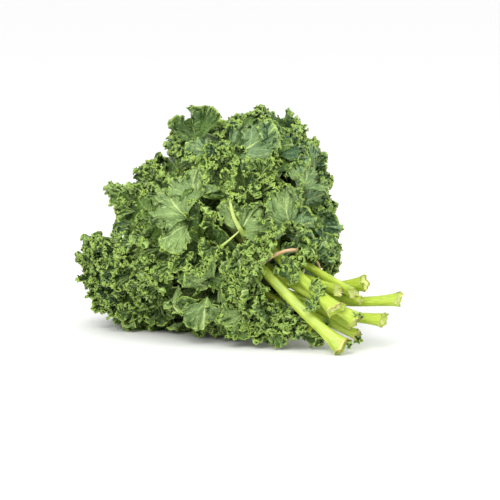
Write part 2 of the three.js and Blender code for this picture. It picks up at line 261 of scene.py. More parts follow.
def frill(points, rim, waves, rng):
    """Waves a sheet of points, its first axis along the margin and its rim 1 there. Each finer wave
    stands on the folds of the one before, so the margin grows far longer than the sheet it edges."""
    previous = 0
    for length, height, power in waves:
        distance = run_of(points[:, np.argmax(rim[0])])[:, None]
        width = np.linalg.norm(np.diff(points, axis=1), axis=-1).sum(axis=1).mean()
        inward = (1 - rim) * width
        stray = ripples(distance, inward, length, rng)
        phase = 2 * np.pi * (distance / length + rng.uniform()) + 1.1 * previous + 1.5 * stray
        strength = 1 + 0.35 * ripples(distance, inward, 2.5 * length, rng)
        reach = height * strength * rim**power
        normal, along = normals_of(points)
        points = moved(points, (reach * np.sin(phase), normal), (0.45 * reach * np.sin(2 * phase), along))
        previous = np.sin(phase)
    return points


# ---- Outline of the foliage ----

# How far the foliage reaches, as a share of the dome's outline, by the clock: degrees round the
# broad view, anticlockwise from its right, where the stalks are
REACH_ROUND = [
    (0, 0.96), (10, 0.91), (25, 0.95), (45, 1.01), (65, 1.03), (80, 0.99), (91, 0.89), (102, 0.88),
    (112, 0.92), (120, 0.88), (135, 0.8), (150, 0.93), (165, 1.06), (180, 1.1), (200, 1.06),
    (230, 1.05), (260, 1.04), (290, 0.98), (330, 0.99), (350, 1.0), (360, 0.96),
]
REACH_SQUARENESS = 7  # of the limit of the foliage towards the table
TIP_SHARE = 96  # percentile of a lobe's points that keeps within that limit, its stray tips aside
HEM_SHARE = 92  # and the one of its points that keeps above the hem
SETTLING = 1.8  # how softly foliage comes to lie on the table and on the sides of the bunch's box


def reach_round(direction):
    across, above = direction @ view_right, direction @ view_up
    clock = np.degrees(np.arctan2(above, across)) % 360
    share = np.interp(clock, *zip(*REACH_ROUND))
    return 1 + (share - 1) * (across**2 + above**2)


def press(x, soft):
    """x where it is positive and nothing where it is negative, with a soft turn between."""
    return soft * np.logaddexp(0, x / soft)


def reach_limit(direction):
    """How far the foliage reaches from the dome's middle, whichever way."""
    return outline(direction, REACH_SQUARENESS) * reach_round(direction)


def from_middle(points):
    """Distances and directions of points from the dome's middle."""
    away = points - dome_centre
    distance = np.linalg.norm(away, axis=-1)
    return distance, away / np.maximum(distance, 1e-6)[..., None]


def tucked(points, depth, soft):
    """Points of a blade, kept a depth below the limit of the foliage."""
    distance, direction = from_middle(points)
    distance = distance - press(distance - (reach_limit(direction) - depth), soft)
    return moved(dome_centre, (distance, direction))


def excess(points):
    """How far a lobe stands out beyond the limit of the foliage, its few furthest points aside."""
    distance, direction = from_middle(points)
    return max(0.0, np.percentile(distance - reach_limit(direction), TIP_SHARE))


# The end of the drooping leaf hangs clear of the table: two places of its hem, across and above the
# dome's middle in the broad view
HEM = ((-151, -69), (-109, -100))


def hung(points, whole=False):
    """Points of the drooping leaf, lifted to its hem where they lie below it, singly or as a whole."""
    (left, high), (right, low) = HEM
    slope = (high - low) / (right - left)
    rise = unit(slope * view_right + view_up)
    below = rise @ (left * view_right + high * view_up) - (points - dome_centre) @ rise
    lift = max(0.0, np.percentile(below, HEM_SHARE)) if whole else press(below, 2)[..., None]
    return points + lift * rise


def settle(points):
    """Foliage lies on the table and stays within the bunch's own size."""
    low = np.array(cad_box[0]) / MM + LEAF_THICKNESS
    high = np.array(cad_box[1]) / MM - LEAF_THICKNESS
    low[2] = FLOOR_SKIN
    points = low + press(points - low, SETTLING)
    return high - press(high - points, SETTLING)


# ---- Building meshes ----


def line_at(t, places, points):
    """Points of a line at t, from its points at some places."""
    return np.stack([np.interp(t, places, column) for column in points.T], axis=-1)


def in_scene(name, data):
    thing = bpy.data.objects.new(name, data)
    bpy.context.scene.collection.objects.link(thing)
    return thing


def close_seams(mesh):
    """Joins the meeting edges of a sheet that is rolled into a tube and drawn shut at its ends."""
    bm = bmesh.new()
    bm.from_mesh(mesh)
    bmesh.ops.remove_doubles(bm, verts=bm.verts, dist=1e-6)
    bmesh.ops.recalc_face_normals(bm, faces=bm.faces)
    bm.to_mesh(mesh)
    bm.free()


class SheetMesh:
    """Collects grids in one bmesh, then moves their vertices to the points worked out for them."""

    def __init__(self):
        self.bm = bmesh.new()
        self.parts = []

    def add_lobe(self, kind, *placing):
        self.add(*kind["grid"], lobe_shape(kind, *placing))

    def add(self, columns, rows, shape):
        first = len(self.bm.verts)
        bmesh.ops.create_grid(self.bm, x_segments=columns, y_segments=rows, size=1)
        self.parts.append((first, len(self.bm.verts), columns, rows, shape))

    def build(self, name, materials, closed=False):
        mesh = bpy.data.meshes.new(name)
        self.bm.to_mesh(mesh)
        self.bm.free()
        count = len(mesh.vertices)
        co = np.empty(count * 3)
        mesh.vertices.foreach_get("co", co)
        co = co.reshape(-1, 3)
        rim, tone = np.zeros(count), np.zeros(count)
        leaf_uv = np.zeros((count, 2))
        for first, last, columns, rows, shape in self.parts:
            i = np.rint((co[first:last, 0] + 1) / 2 * columns).astype(int)
            j = np.rint((co[first:last, 1] + 1) / 2 * rows).astype(int)
            across, down = np.linspace(-1, 1, columns + 1), np.linspace(-1, 1, rows + 1)
            a, b = np.meshgrid(across, down, indexing="ij")
            points, edge, colour, uv = shape(a, b)
            co[first:last] = settle(points)[i, j] * MM
            rim[first:last] = edge[i, j]
            tone[first:last] = np.broadcast_to(colour, a.shape)[i, j]
            leaf_uv[first:last] = uv[i, j]
        mesh.vertices.foreach_set("co", co.ravel())
        # rim: nearness to a leaf's margin, where a highlight is painted, or to a stalk's cut end; tone:
        # bloom and painted shade on lobes, and the colour along a stalk
        for key, values in (("rim", rim), ("tone", tone)):
            mesh.attributes.new(key, "FLOAT", "POINT").data.foreach_set("value", values)
        corner = np.empty(len(mesh.loops), int)
        mesh.loops.foreach_get("vertex_index", corner)
        mesh.uv_layers.new(name="veins").data.foreach_set("uv", leaf_uv[corner].ravel())
        for material in materials:
            mesh.materials.append(material)
        mesh.polygons.foreach_set("use_smooth", np.ones(len(mesh.polygons), bool))
        mesh.update()
        piece = in_scene(name, mesh)
        if closed:
            close_seams(mesh)
            return piece
        wall = piece.modifiers.new("wall", "SOLIDIFY")
        wall.thickness = LEAF_THICKNESS * MM
        wall.offset = 0
        wall.use_rim = True
        wall.material_offset = 1
        wall.material_offset_rim = 2
        return piece


# ---- Blades ----

BLADE_GRID = {"outer": (130, 16), "middle": (80, 10), "inner": (54, 8)}
BLADE_TONE = 0.35
BLADE_WAVES = {
    "outer": ((30, 6, 0.8), (11, 3, 1.2), (5.5, 1.2, 1.6)),
    "middle": ((30, 5, 1.6), (12, 2.6, 3)),
    "inner": ((26, 3, 1.6), (12, 2, 3)),
}


def half_width(u):
    rounded = np.sin(np.pi * (0.1 + 0.83 * u)) ** 0.25
    notch = (0.5 + 0.5 * np.cos(2 * np.pi * LOBES * u)) ** 3
    return rounded * (1 - NOTCH * notch * smoothstep(u, 0, 0.15))


def blade_shape(leaf, rng):
    def shape(a, b):
        u = (a + 1) / 2
        side_share = np.abs(b)
        v = 1 - (1 - side_share) ** 1.25
        hand = np.where(b < 0, -1.0, 1.0)
        share = half_width(u) * v
        turn = 2 * np.pi * LOBES * u
        swing = 1 + 0.35 * np.sin(5 * u + leaf.azimuth)
        fold = FOLD * swing * v**1.4 * np.sin(turn + hand * 1.3 + leaf.azimuth)
        if leaf.droops:
            fold = fold * DROOP_FOLD
        ruffle = leaf.layer["ruffle"] * smoothstep(u, -0.1, 0.15)
        hollow = CUP * np.sin(np.pi * v) * smoothstep(u, 0, 0.2)
        behind_rib = 0.17 * leaf.rib_width(u) + RIB_GAP + BLADE_THICKNESS / 2
        sunk = DROOP_SINK * smoothstep(u, 0.1, 0.3) if leaf.droops else 0
        points = leaf.point(u, share, hand, ruffle * fold - hollow - behind_rib - sunk)
        if leaf.kind == "outer" and not leaf.droops:
            points = tucked(points, SINK, 4)
        half = b.shape[1] // 2
        waves = BLADE_WAVES[leaf.kind]
        left = frill(points[:, : half + 1], v[:, : half + 1], waves, rng)
        right = frill(points[:, half:], v[:, half:], waves, rng)
        points = np.concatenate([left[:, :-1], right], axis=1)
        if leaf.droops:
            points = hung(points)
        half = math.radians(leaf.sector) * leaf.layer["depth"]
        length = math.radians(leaf.reach - leaf.layer["base"]) * leaf.layer["depth"]
        uv = np.stack([hand * v * half, u * length], axis=-1) / VEIN_SCALE
        # the second value is the mask of the painted highlight along the margin
        return points, np.maximum(0, 1 - (1 - v) * half / EDGE_HIGHLIGHT_BREADTH), BLADE_TONE, uv

    return shape


# ---- Lobes ----

# Kinds of lobe: grid, length, half angle of the fan, curl from root to rim, tilt out of the leaf, depth of
# the root, the broad swell (height as a share of the length, and power towards the rim), dents, and waves
# of the margin (length, height and power towards the rim)
CURLY = dict(
    grid=(160, 4), radius=(11, 16.5), spread=(1.7, 2.5), curl=(0.75, 1.35), tilt=(-0.15, 0.65),
    depth=10, swell=(0.2, 1.2), pucker=0, waves=((5.6, 2.5, 0.9), (2.8, 1.2, 1.3)),
)
COARSE = dict(CURLY, grid=(76, 4), radius=(15, 21), depth=12, waves=((9.5, 3.4, 1.1), (5.4, 1.7, 1.5)))
SMOOTH = dict(
    grid=(130, 6), radius=(20, 27), spread=(1.1, 1.6), curl=(-0.6, 0.4), tilt=(0.05, 0.5),
    depth=8, swell=(0.17, 1.4), pucker=0.4, waves=((8.5, 3.0, 2.4), (4.2, 1.4, 3.6)),
)
BROAD = dict(SMOOTH, grid=(150, 6), swell=(0.13, 1.5), pucker=0.6, waves=((10, 3.4, 3.0), (4.6, 1.6, 4.5)))
SCRAP = dict(CURLY, grid=(48, 4), radius=(3, 5.5), waves=((3.6, 0.9, 1.0),))
NARROW = dict(BROAD, spread=(0.7, 0.85), curl=(-0.3, 0.3))

CLAW = 9  # how far the claw at a lobe's root reaches in
CLAW_BREADTH = 0.3  # of the claw's end, as a share of the lobe's narrow base
BASE_SHARE = 0.06  # where a lobe's sheet begins, as a share of its length
CUTS, CUT_DEPTH = 4.4, 0.34  # of the teeth of a lobe: how closely they follow each other and how deep
BILLOWS, BILLOW_HEIGHT = 2.6, 0.16  # of the broad waves across a lobe
PUCKER_LENGTH = 9  # of the small dents in a smooth lobe
EDGE_HIGHLIGHT_BREADTH = 9  # of the painted highlight along the margin, fading out
VEIN_SCALE = 10  # mm for each unit of the vein map

# Lobes are bluer towards some sides of the bunch: their bluish bloom, and towards the top (view_up) also
# painted shade that tones down the brightly lit top. The columns: the side, where that begins and is full,
# in mm from
#  the dome's middle, and how much. Single lobes also differ by up to TONE_RANGE.
BLOOM_AND_SHADE_SIDES = ((view_up, 10, 100, 0.5), (view_right, 30, 100, 0.6), (-view_right, 85, 125, 0.45))
TONE_RANGE = 0.55


def lobe_shape(kind, root, heading, facing, seed, radius=None, hemmed=True, claw=None):
    """A fan-shaped lobe of a leaf: its veins spread from the root, its margin is frilled. It heads away
    from the root, its upper side towards facing, and curls by an angle from root to rim. A narrow claw
    joins it to the blade that carries it. A hemmed lobe is shifted in to the limit of the foliage."""
    inward = unit(dome_centre - root)
    claw = CLAW * inward if claw is None else claw
    rng = np.random.default_rng(seed)
    radius = radius or rng.uniform(*kind["radius"])
    spread = rng.uniform(*kind["spread"])
    curl = rng.uniform(*kind["curl"])
    out = root - dome_centre
    # bluish bloom by side, with painted shade towards the top of the bunch
    bloom_and_shade = sum(share * smoothstep(out @ side, start, full) for side, start, full, share in BLOOM_AND_SHADE_SIDES)
    tone = TONE_RANGE * rng.uniform() + bloom_and_shade
    jags, sway = rng.uniform(0, 6, 2)
    swell, swell_power = kind["swell"]

    def shape(a, b):
        angle = a * spread
        rho = BASE_SHARE + (1 - BASE_SHARE) * (1 - (1 - (b + 1) / 2) ** 1.4)
        notches = 0.5 + 0.5 * np.cos(angle * CUTS + jags + 0.6 * np.sin(2 * angle + sway))
        scallop = 1.08 - CUT_DEPTH * notches**3 * rho - 0.2 * np.abs(a) ** 3
        bend = curl * rho
        lift = radius * scallop * (1 - np.cos(bend)) / curl
        flat = radius * scallop * np.sin(bend) / curl
        side = np.cross(heading, facing)
        lift = lift + BILLOW_HEIGHT * radius * rho**2 * np.cos(angle * BILLOWS + sway)
        east, north = rho * radius * np.sin(angle), rho * radius * np.cos(angle)
        lift = lift + kind["pucker"] * ripples(east, north, PUCKER_LENGTH, rng)
        level = (flat * np.cos(angle), heading), (flat * np.sin(angle), side)
        points = moved(root, *level, (lift, facing))
        waves = ((radius * rng.uniform(0.8, 1.2), radius * swell, swell_power),) + kind["waves"]
        points = frill(points, rho, waves, rng)
        foot = root + claw
        if hemmed:
            shift = inward * excess(points)
            points, foot = points + shift, foot + shift
        else:
            points = hung(points, whole=True)
        points[:, 0] = foot + CLAW_BREADTH * (points[:, 0] - points[:, 0].mean(axis=0))
        uv = np.stack([east, north], axis=-1) / VEIN_SCALE
        # the second value is the mask of the painted highlight along the margin; the tone carries the
        # bloom and painted shade
        return points, np.maximum(0, 1 - (1 - rho) * radius / EDGE_HIGHLIGHT_BREADTH), tone, uv

    return shape


def square_to(way, other):
    return unit(way - other * np.dot(way, other))


def on_side_of(way, other):
    return -way if np.dot(way, other) < 0 else way


def turned_out(heading, facing, tilt):
    """A heading raised towards the way it faces, and that way turned back with it."""
    return turned(heading, facing, tilt), turned(facing, -heading, tilt)


def surface_frame(leaf, u, share, hand):
    """A place on the outside of a leaf, with the ways towards its tip, its margin and out of it."""
    step = 0.02
    here = leaf.point(u, share, hand, 0)
    along = unit(leaf.point(u + step, share, hand, 0) - leaf.point(u - step, share, hand, 0))
    across = unit(leaf.point(u, share + step, hand, 0) - leaf.point(u, share - step, hand, 0))
    return here, along, across, on_side_of(unit(np.cross(along, across)), here - dome_centre)


def in_view(clock):
    """The way that an angle points in the broad view, anticlockwise from the right."""
    return turned(view_right, view_up, math.radians(clock))


def on_dome(across, above, depth):
    """The place on the near side of the dome, a depth below its limit, for a place in the broad view.
    Beside the dome it is level with the dome's middle."""
    nearness = np.arange(150, -20.5, -0.5)
    sight = across * view_right + above * view_up + nearness[:, None] * toward
    distance = np.linalg.norm(sight, axis=1)
    within = distance <= reach_limit(sight / distance[:, None]) - depth
    return dome_centre + sight[np.argmax(within if within.any() else nearness <= 0)]


def leaf_under(place):
    """Name of the outer leaf whose sector a place is in."""
    away = place - dome_centre
    azimuth = math.degrees(math.atan2(away @ sideways, away @ upward))
    outer = [leaf for leaf in leaves if leaf.kind == "outer"]
    return min(outer, key=lambda leaf: abs((leaf.azimuth - azimuth + 180) % 360 - 180)).name


# ---- Broad lobes ----

# Broad smooth lobes on the outside of the bunch: root (across and above the dome's middle in the broad
# view), clock angle of the way it points, and length
BROAD_LOBES = [
    (-46, 8, 132, 37), (-49, 1, 215, 28), (-37, 26, 95, 30), (8, -7, 60, 34), (14, -8, 8, 27),
    (55, -6, 102, 42), (56, -7, 18, 29), (-2, 74, 33, 48), (73, 38, 65, 29), (45, 74, 62, 32),
    (4, -28, -62, 26), (-18, -60, 150, 28), (-25, -74, 260, 30), (14, -84, 235, 27), (24, -94, -15, 26),
    (88, -20, 12, 21), (68, -26, 118, 22), (-92, 50, 120, 28),
]
# The same for lobes that stand out of the dome
LOOSE_LOBES = [(-34, 76, 98, 40), (-98, 24, 158, 27), (-106, -2, 230, 20)]
UPPER_SIDE_OUT = (9, 15, 18, 19)  # which of all these show their darker side, counted from 0
LOBE_DEPTH, LOOSE_DEPTH = 7, 15  # of their roots below the limit of the foliage


def place_broad_lobes():
    """Each of these as its leaf's name, root, heading, way out, length and whether it stands out."""
    placed = []
    for rows, loose in ((BROAD_LOBES, False), (LOOSE_LOBES, True)):
        for across, above, clock, length in rows:
            root = on_dome(across, above, LOOSE_DEPTH if loose else LOBE_DEPTH)
            outward = unit(root - dome_centre)
            heading = in_view(clock) if loose else square_to(in_view(clock), outward)
            placed.append((leaf_under(root), root, heading, square_to(outward, heading), length, loose))
    return placed


broad_lobes = place_broad_lobes()


def clear_of_broad_lobes(root):
    return all(
        np.linalg.norm(start + 0.6 * length * heading - root) > 0.5 * length
        for _, start, heading, _, length, _ in broad_lobes
    )


def broad_lobes_on(leaf):
    for k, (carrier, root, heading, outward, length, loose) in enumerate(broad_lobes):
        if carrier == leaf.name:
            facing = outward if k in UPPER_SIDE_OUT else -outward
            kind = NARROW if loose else BROAD
            yield kind, root, heading, facing, [7, k], length, not loose


# ---- Sown lobes ----

# Lobes are sown over each outer leaf, about so far apart
SPACING = {
    "leaf_01": 18.5, "leaf_02": 20.5, "leaf_03": 19.5, "leaf_04": 23, "leaf_05": 25, "leaf_06": 20,
}
STRAY_ALONG, STRAY_ACROSS = 0.2, 0.25  # how far they stray, as shares of their spacing
OUTERMOST = 0.9  # share of the half width that they keep within
FAR_SIDE = ("leaf_04", "leaf_05")  # leaves with coarser lobes
TABLE_SIDE = -0.6  # lobes that face the table more than this are coarser too
SMOOTH_SHARE = 0.22  # how many of the sown lobes are smooth ones
PALE_SHARE = 0.6  # how many of the smooth ones show their paler underside
SOWN_LEAN = (-0.8, 1.4)  # how far they turn from the margin towards the leaf's tip
HEM_LIFT = 5  # none is sown where the drooping leaf's hem is lifted further than this
DROOP_ROOT, DROOP_CLAW = 5, 14  # depth of the roots and length of the claws on the drooping leaf


def sown(leaf, spacing, rng):
    """Places over a leaf, about a spacing apart, as u, share and hand."""
    length = math.radians(leaf.reach - leaf.layer["base"]) * leaf.layer["depth"]
    rows = max(2, round(length / spacing))
    for row in range(rows):
        u = (row + 0.5 + rng.uniform(-STRAY_ALONG, STRAY_ALONG)) / rows
        ring = leaf.layer["depth"] * math.sin(leaf.polar_at(u, 0))
        half = math.radians(leaf.sector) * ring * half_width(u)
        count = max(1, round(2 * half / spacing))
        for k in range(count):
            share = 2 * (k + 0.5 + rng.uniform(-STRAY_ACROSS, STRAY_ACROSS)) / count - 1
            yield u, min(OUTERMOST, abs(share)) * half_width(u), 1.0 if share > 0 else -1.0


def sown_lobes_on(leaf):
    if leaf.name not in SPACING:
        return
    curly = COARSE if leaf.name in FAR_SIDE else CURLY
    places = sown(leaf, SPACING[leaf.name], np.random.default_rng([leaf.number, 1]))
    for k, (u, share, hand) in enumerate(places):
        rng = np.random.default_rng([leaf.number, 2, k])
        here, along, across, outward = surface_frame(leaf, u, share, hand)
        lifted = leaf.droops and np.linalg.norm(hung(here) - here) > HEM_LIFT
        if lifted or not clear_of_broad_lobes(here):
            continue
        kind = SMOOTH if rng.uniform() < SMOOTH_SHARE and not leaf.droops else curly
        if kind is CURLY and outward[2] < TABLE_SIDE:
            kind = COARSE
        heading = turned(across, along, rng.uniform(*SOWN_LEAN))
        heading, facing = turned_out(heading, outward, rng.uniform(*kind["tilt"]))
        if kind is SMOOTH and rng.uniform() < PALE_SHARE:
            facing = -facing
        root = here - (DROOP_ROOT if leaf.droops else kind["depth"]) * outward
        claw = -DROOP_CLAW * outward if leaf.droops else None
        yield kind, root, heading, facing, [leaf.number, 3, k], None, not leaf.droops, claw


# ---- Lobes set one by one ----

# Lobes at the tips of the leaves inside the bunch, which show at its far end: u, share, hand and how
# far they turn from the leaf's length towards its margin
TIP_LOBES = {
    "outer": (),
    "middle": ((0.72, 0.5, -1, 0.3), (0.72, 0.5, 1, 0.6), (0.95, 0.35, -1, 0), (0.95, 0.35, 1, 0.2)),
    "inner": ((0.7, 0.5, -1, 0.4), (0.7, 0.5, 1, 0.1), (0.95, 0.3, -1, -0.2), (0.95, 0.3, 1, 0.3)),
}
# The same along the upper margin and the tip of the drooping leaf
EDGE_LOBES = {
    "leaf_03": (
        (0.64, 0.9, -1, 1.5), (0.7, 0.9, -1, 1.1), (0.76, 0.84, -1, 1.4), (0.82, 0.6, -1, 0.9),
        (0.82, 0.84, -1, 1.3), (0.88, 0.4, -1, 0.3), (0.9, 0.1, -1, -0.1),
    ),
}
TIP_TILT = (-0.3, 0.5)
TIP_ROOT, TIP_CLAW = 3, 12  # depth of their roots and length of their claws

# Scraps of leaf left on the feet of the stalks: distance up from the cut, angle round the stalk and
# distance from its middle
FOOT_SCRAPS = {
    "leaf_07": ((3, 20, 5), (1, -50, 5)), "leaf_02": ((2, -60, 6),), "leaf_08": ((2, 200, 5),),
    "leaf_05": ((4, 150, 4),),
}
SCRAP_TILT = 0.4

# Curly lobes set among the broad ones: root and clock angle
CURLY_LOBES = [
    (-8, 62, 100), (10, 56, 60), (-2, 44, 20), (18, 40, -20), (-20, 50, 150), (30, 52, 30), (6, 34, 240),
    (-14, 70, 80), (30, 34, 60), (-106, 16, 172), (-108, 2, 190), (-103, 30, 160), (-100, -16, 200),
    (-88, -10, 230), (-80, -24, 200), (-64, -40, 250), (-46, -34, 280), (-30, -38, 300), (-86, -40, 215),
    (-20, -22, 250), (98, -26, 350), (96, -38, 330), (86, -46, 300),
]
CURLY_TILT = 0.35

# Lobes hanging over the necks of the stalks and on the drooping leaf: root as above and its nearness,
# clock angle and length
FRONT_LOBES = {
    "leaf_02": [
        (10, -36, 98, -45, 20), (13, -48, 101, -40, 19), (8, -56, 99, -65, 21), (17, -66, 102, -45, 19),
    ],
    "leaf_03": [
        (-121, -66, 13, 235, 16), (-133, -62, -3, 215, 16), (-140, -50, -17, 190, 16),
        (-129, -76, -7, 225, 15), (-116, -80, 6, 250, 15), (-118, -46, 26, 170, 15),
        (-106, -52, 32, 210, 15),
    ],
}
FRONT_TILT = 0.2

# Lobes about the neck of the bunch: distance behind the band, angle round it, distance from its axis,
# how far they turn aside from the stalks, length and kind
NECK_LOBES = {
    "leaf_01": (
        (14, 38, 45, 0.2, 19, CURLY), (22, 18, 46, -0.4, 20, CURLY), (9, -24, 45, -0.2, 21, SMOOTH),
        (26, -8, 47, 0.3, 20, CURLY), (18, 24, 46, 0.0, 14, CURLY), (7, 35, 45, 0.2, 15, CURLY),
    ),
    "leaf_02": (
        (-2, 49, 47, 0.4, 19, CURLY), (-5, 64, 47, 0.0, 21, CURLY), (-4, 84, 46, -0.3, 20, CURLY),
        (12, 74, 45, 0.1, 24, SMOOTH), (28, 54, 47, 0.3, 20, CURLY), (28, 88, 47, -0.3, 21, CURLY),
    ),
    "leaf_03": (
        (14, 104, 45, 0.2, 21, CURLY), (0, 122, 44, -0.1, 20, CURLY), (24, 128, 44, 0.4, 21, CURLY),
        (2, 146, 42, 0.2, 20, CURLY), (24, 158, 44, -0.3, 21, SMOOTH), (-8, 112, 42, 0.0, 19, CURLY),
        (-14, 134, 38, 0.3, 20, SMOOTH), (-8, 152, 38, -0.4, 19, CURLY), (-22, 112, 34, 0.2, 18, CURLY),
    ),
    "leaf_06": (
        (4, -46, 44, 0.3, 19, CURLY), (20, -42, 45, -0.2, 21, SMOOTH), (18, -68, 45, 0.4, 20, CURLY),
    ),
}
NECK_TILT = 0.12


def tip_lobes_on(leaf):
    kind = CURLY if leaf.droops else COARSE
    for k, (u, share, hand, lean) in enumerate(EDGE_LOBES.get(leaf.name, TIP_LOBES[leaf.kind])):
        rng = np.random.default_rng([leaf.number, 4, k])
        here, along, across, outward = surface_frame(leaf, u, share, hand)
        heading, facing = turned_out(turned(along, across, lean), outward, rng.uniform(*TIP_TILT))
        root, claw = here - TIP_ROOT * outward, -TIP_CLAW * outward
        yield kind, root, heading, facing, [leaf.number, 5, k], None, False, claw


def foot_scraps_on(leaf):
    foot = TIE_CENTRE + leaf.cut
    for k, (up, angle, away) in enumerate(FOOT_SCRAPS.get(leaf.name, ())):
        root = foot + tie_point(away, angle) - TIE_CENTRE - up * to_stalks
        heading, facing = turned_out(unit(root - foot), to_stalks, SCRAP_TILT)
        yield SCRAP, root, heading, facing, [leaf.number, 6, k], None, False


def curly_lobes_on(leaf):
    for k, (across, above, clock) in enumerate(CURLY_LOBES):
        root = on_dome(across, above, LOBE_DEPTH)
        if leaf_under(root) == leaf.name:
            outward = unit(root - dome_centre)
            heading, facing = turned_out(square_to(in_view(clock), outward), outward, CURLY_TILT)
            yield CURLY, root, heading, facing, [10, k]


def front_lobes_on(leaf):
    for k, (across, above, nearness, clock, length) in enumerate(FRONT_LOBES.get(leaf.name, ())):
        root = dome_centre + across * view_right + above * view_up + nearness * toward
        heading, facing = turned_out(in_view(clock), toward, FRONT_TILT)
        yield CURLY, root, heading, facing, [leaf.number, 11, k], length, False


def neck_lobes_on(leaf):
    for k, (behind, angle, away, aside, length, kind) in enumerate(NECK_LOBES.get(leaf.name, ())):
        root = tie_point(away, angle) - behind * to_stalks
        outward = unit(tie_point(1, angle) - TIE_CENTRE)
        heading = unit(to_stalks + aside * np.cross(to_stalks, outward))
        heading, facing = turned_out(heading, outward, NECK_TILT)
        yield kind, root, heading, facing, [leaf.number, 8, k], length, False


# ---- Whole leaves ----

LOBES_ON = (
    sown_lobes_on, tip_lobes_on, foot_scraps_on, broad_lobes_on, curly_lobes_on, front_lobes_on,
    neck_lobes_on,
)


def leaf_piece(leaf, materials):
    """A blade with all the lobes that grow from it."""
    sheet = SheetMesh()
    sheet.add(*BLADE_GRID[leaf.kind], blade_shape(leaf, np.random.default_rng(leaf.number)))
    for lobes_on in LOBES_ON:
        for lobe in lobes_on(leaf):
            sheet.add_lobe(*lobe)
    return sheet.build(leaf.name + "_frills", materials)


SMALL_LEAFLET = 15  # half breadth below which a leaflet has fewer lobes
LEAFLET_LOBES = (3, 7)  # how many a small and a larger one have
LEAFLET_RADIUS = (12, 19)
LEAFLET_ROOT = 8  # depth of their roots behind the leaflet's face


def leaflet_piece(number, root, tip, across, half, materials):
    """A small leaf: a few lobes along the line from its root to its tip."""
    rng = np.random.default_rng(500 + number)
    base = TIE_CENTRE + np.array(root, float)
    length = np.array(tip, float) - np.array(root, float)
    heading = unit(length)
    across = square_to(np.array(across, float), heading)
    facing = on_side_of(np.cross(heading, across), toward)
    sheet = SheetMesh()
    count = LEAFLET_LOBES[half >= SMALL_LEAFLET]
    for k in range(count):
        place = (k + 0.3) / count
        kind = SMOOTH if k % 3 == 0 else CURLY
        way = turned(heading, across, rng.uniform(-1, 1))
        way, outward = turned_out(way, facing, rng.uniform(0.1, 0.7))
        start = base + 0.8 * place * length + (k % 3 - 1) * 0.5 * half * across - LEAFLET_ROOT * facing
        radius = min(0.5 * np.linalg.norm(length), rng.uniform(*LEAFLET_RADIUS))
        sheet.add_lobe(kind, start, way, outward, [9, number, k], radius, False)
    return sheet.build(f"leaflet_{number:02d}_frills", materials)


# ---- Stalks ----

RIB_END = 0.86  # share of its leaf's length that a midrib runs along
RIB_SINK = 7  # how far the midribs lie below the layer
RIB_DEPTH = 12  # the least that they lie below the limit of the foliage
NECK_STIFFNESS = 0.35  # how straight a stalk runs on from the band, and into the dome
TAPER = (1, 0.86, 0.8)  # breadth of a stalk at the cut, at the band and where its blade begins, as shares
RIB_TAPER = 0.6  # what the tip of a midrib keeps of the solid model's breadth
FLATNESS = 0.78  # thickness of a stalk as a share of its breadth
FLARE_LENGTH = 30  # of the widened foot
BOW = {"leaf_09": 5, "leaf_05": 3, "leaf_02": 2}  # how far some stalks sag between the band and the cut
PETIOLE_STEPS, NECK_STEPS, RIB_STEPS = 16, 7, 24  # places worked out behind each other along a stalk


def curve(start, leaving, arriving, end, t):
    back = 1 - t
    return back**3 * start + 3 * t * back**2 * leaving + 3 * t**2 * back * arriving + t**3 * end


def stalk_path(leaf):
    """Centres of a stalk from its cut end to its tip, with the ways out, widths and places in the rib."""
    tie, cut = tie_point(*leaf.tie), TIE_CENTRE + leaf.cut
    from_cut = np.linspace(0, 1, PETIOLE_STEPS)
    from_tie = np.linspace(0, 1, NECK_STEPS + 2)[1:-1]
    ribs = np.linspace(0, RIB_END, RIB_STEPS)
    petiole = lerp(cut, tie, from_cut[:, None])
    petiole = petiole - BOW.get(leaf.name, 0) * np.sin(np.pi * from_cut)[:, None] * upward
    rib = leaf.point(ribs, 0.0, 1.0, 0.0)
    reach = np.linalg.norm(tie - rib[0]) * NECK_STIFFNESS
    leaving = tie + unit(lerp(unit(tie - cut), -to_stalks, 0.5)) * reach
    arriving = rib[0] + unit(rib[0] - rib[1]) * reach
    neck = curve(tie, leaving, arriving, rib[0], from_tie[:, None])
    rib = rib + unit(dome_centre - rib) * (RIB_SINK * smoothstep(ribs, 0, 0.3))[:, None]
    if leaf.kind == "outer" and not leaf.droops:
        rib = lerp(rib, tucked(rib, RIB_DEPTH, 3), smoothstep(ribs, 0.3, 0.5)[:, None])
    centres = np.concatenate([petiole, neck, rib])
    in_dome = np.concatenate([np.zeros(PETIOLE_STEPS), from_tie, np.ones(RIB_STEPS)])[:, None]
    out = lerp(unit(tie - TIE_CENTRE), unit(centres - dome_centre), in_dome)
    along_rib = np.concatenate([np.zeros(PETIOLE_STEPS + NECK_STEPS), ribs])
    taper = np.concatenate([np.linspace(*TAPER[:2], PETIOLE_STEPS), np.linspace(*TAPER[1:], NECK_STEPS)])
    rib_width = leaf.rib_width(ribs) * lerp(1, RIB_TAPER, ribs)
    width = np.concatenate([taper * leaf.layer["stalk"], rib_width])
    near_cut = np.maximum(0, 1 - np.linalg.norm(centres - cut, axis=1) / FLARE_LENGTH)
    flare = 1 + leaf.foot * near_cut**1.5
    return centres, out, width * flare, FLATNESS * width * np.sqrt(flare), along_rib


# Midribs that show between the lobes: places in the broad view and their depth, from the thick end,
# and thickness
BARE_RIBS = {
    "leaf_01": (((13, -11, 16), (8, -3, 5), (3, 6, 2), (0, 16, 1), (-1, 27, 3), (0, 34, 9)), 5.2),
    "leaf_02": (((-12, -22, 7), (-2, -14, 3), (6, -7, 3), (10, -2, 7)), 2.8),
}
BARE_RIB_STEPS = 20
BARE_RIB_TAPER = (1, 0.3)
BARE_RIB_TONE = (-0.5, -0.8)  # below 0 is paler


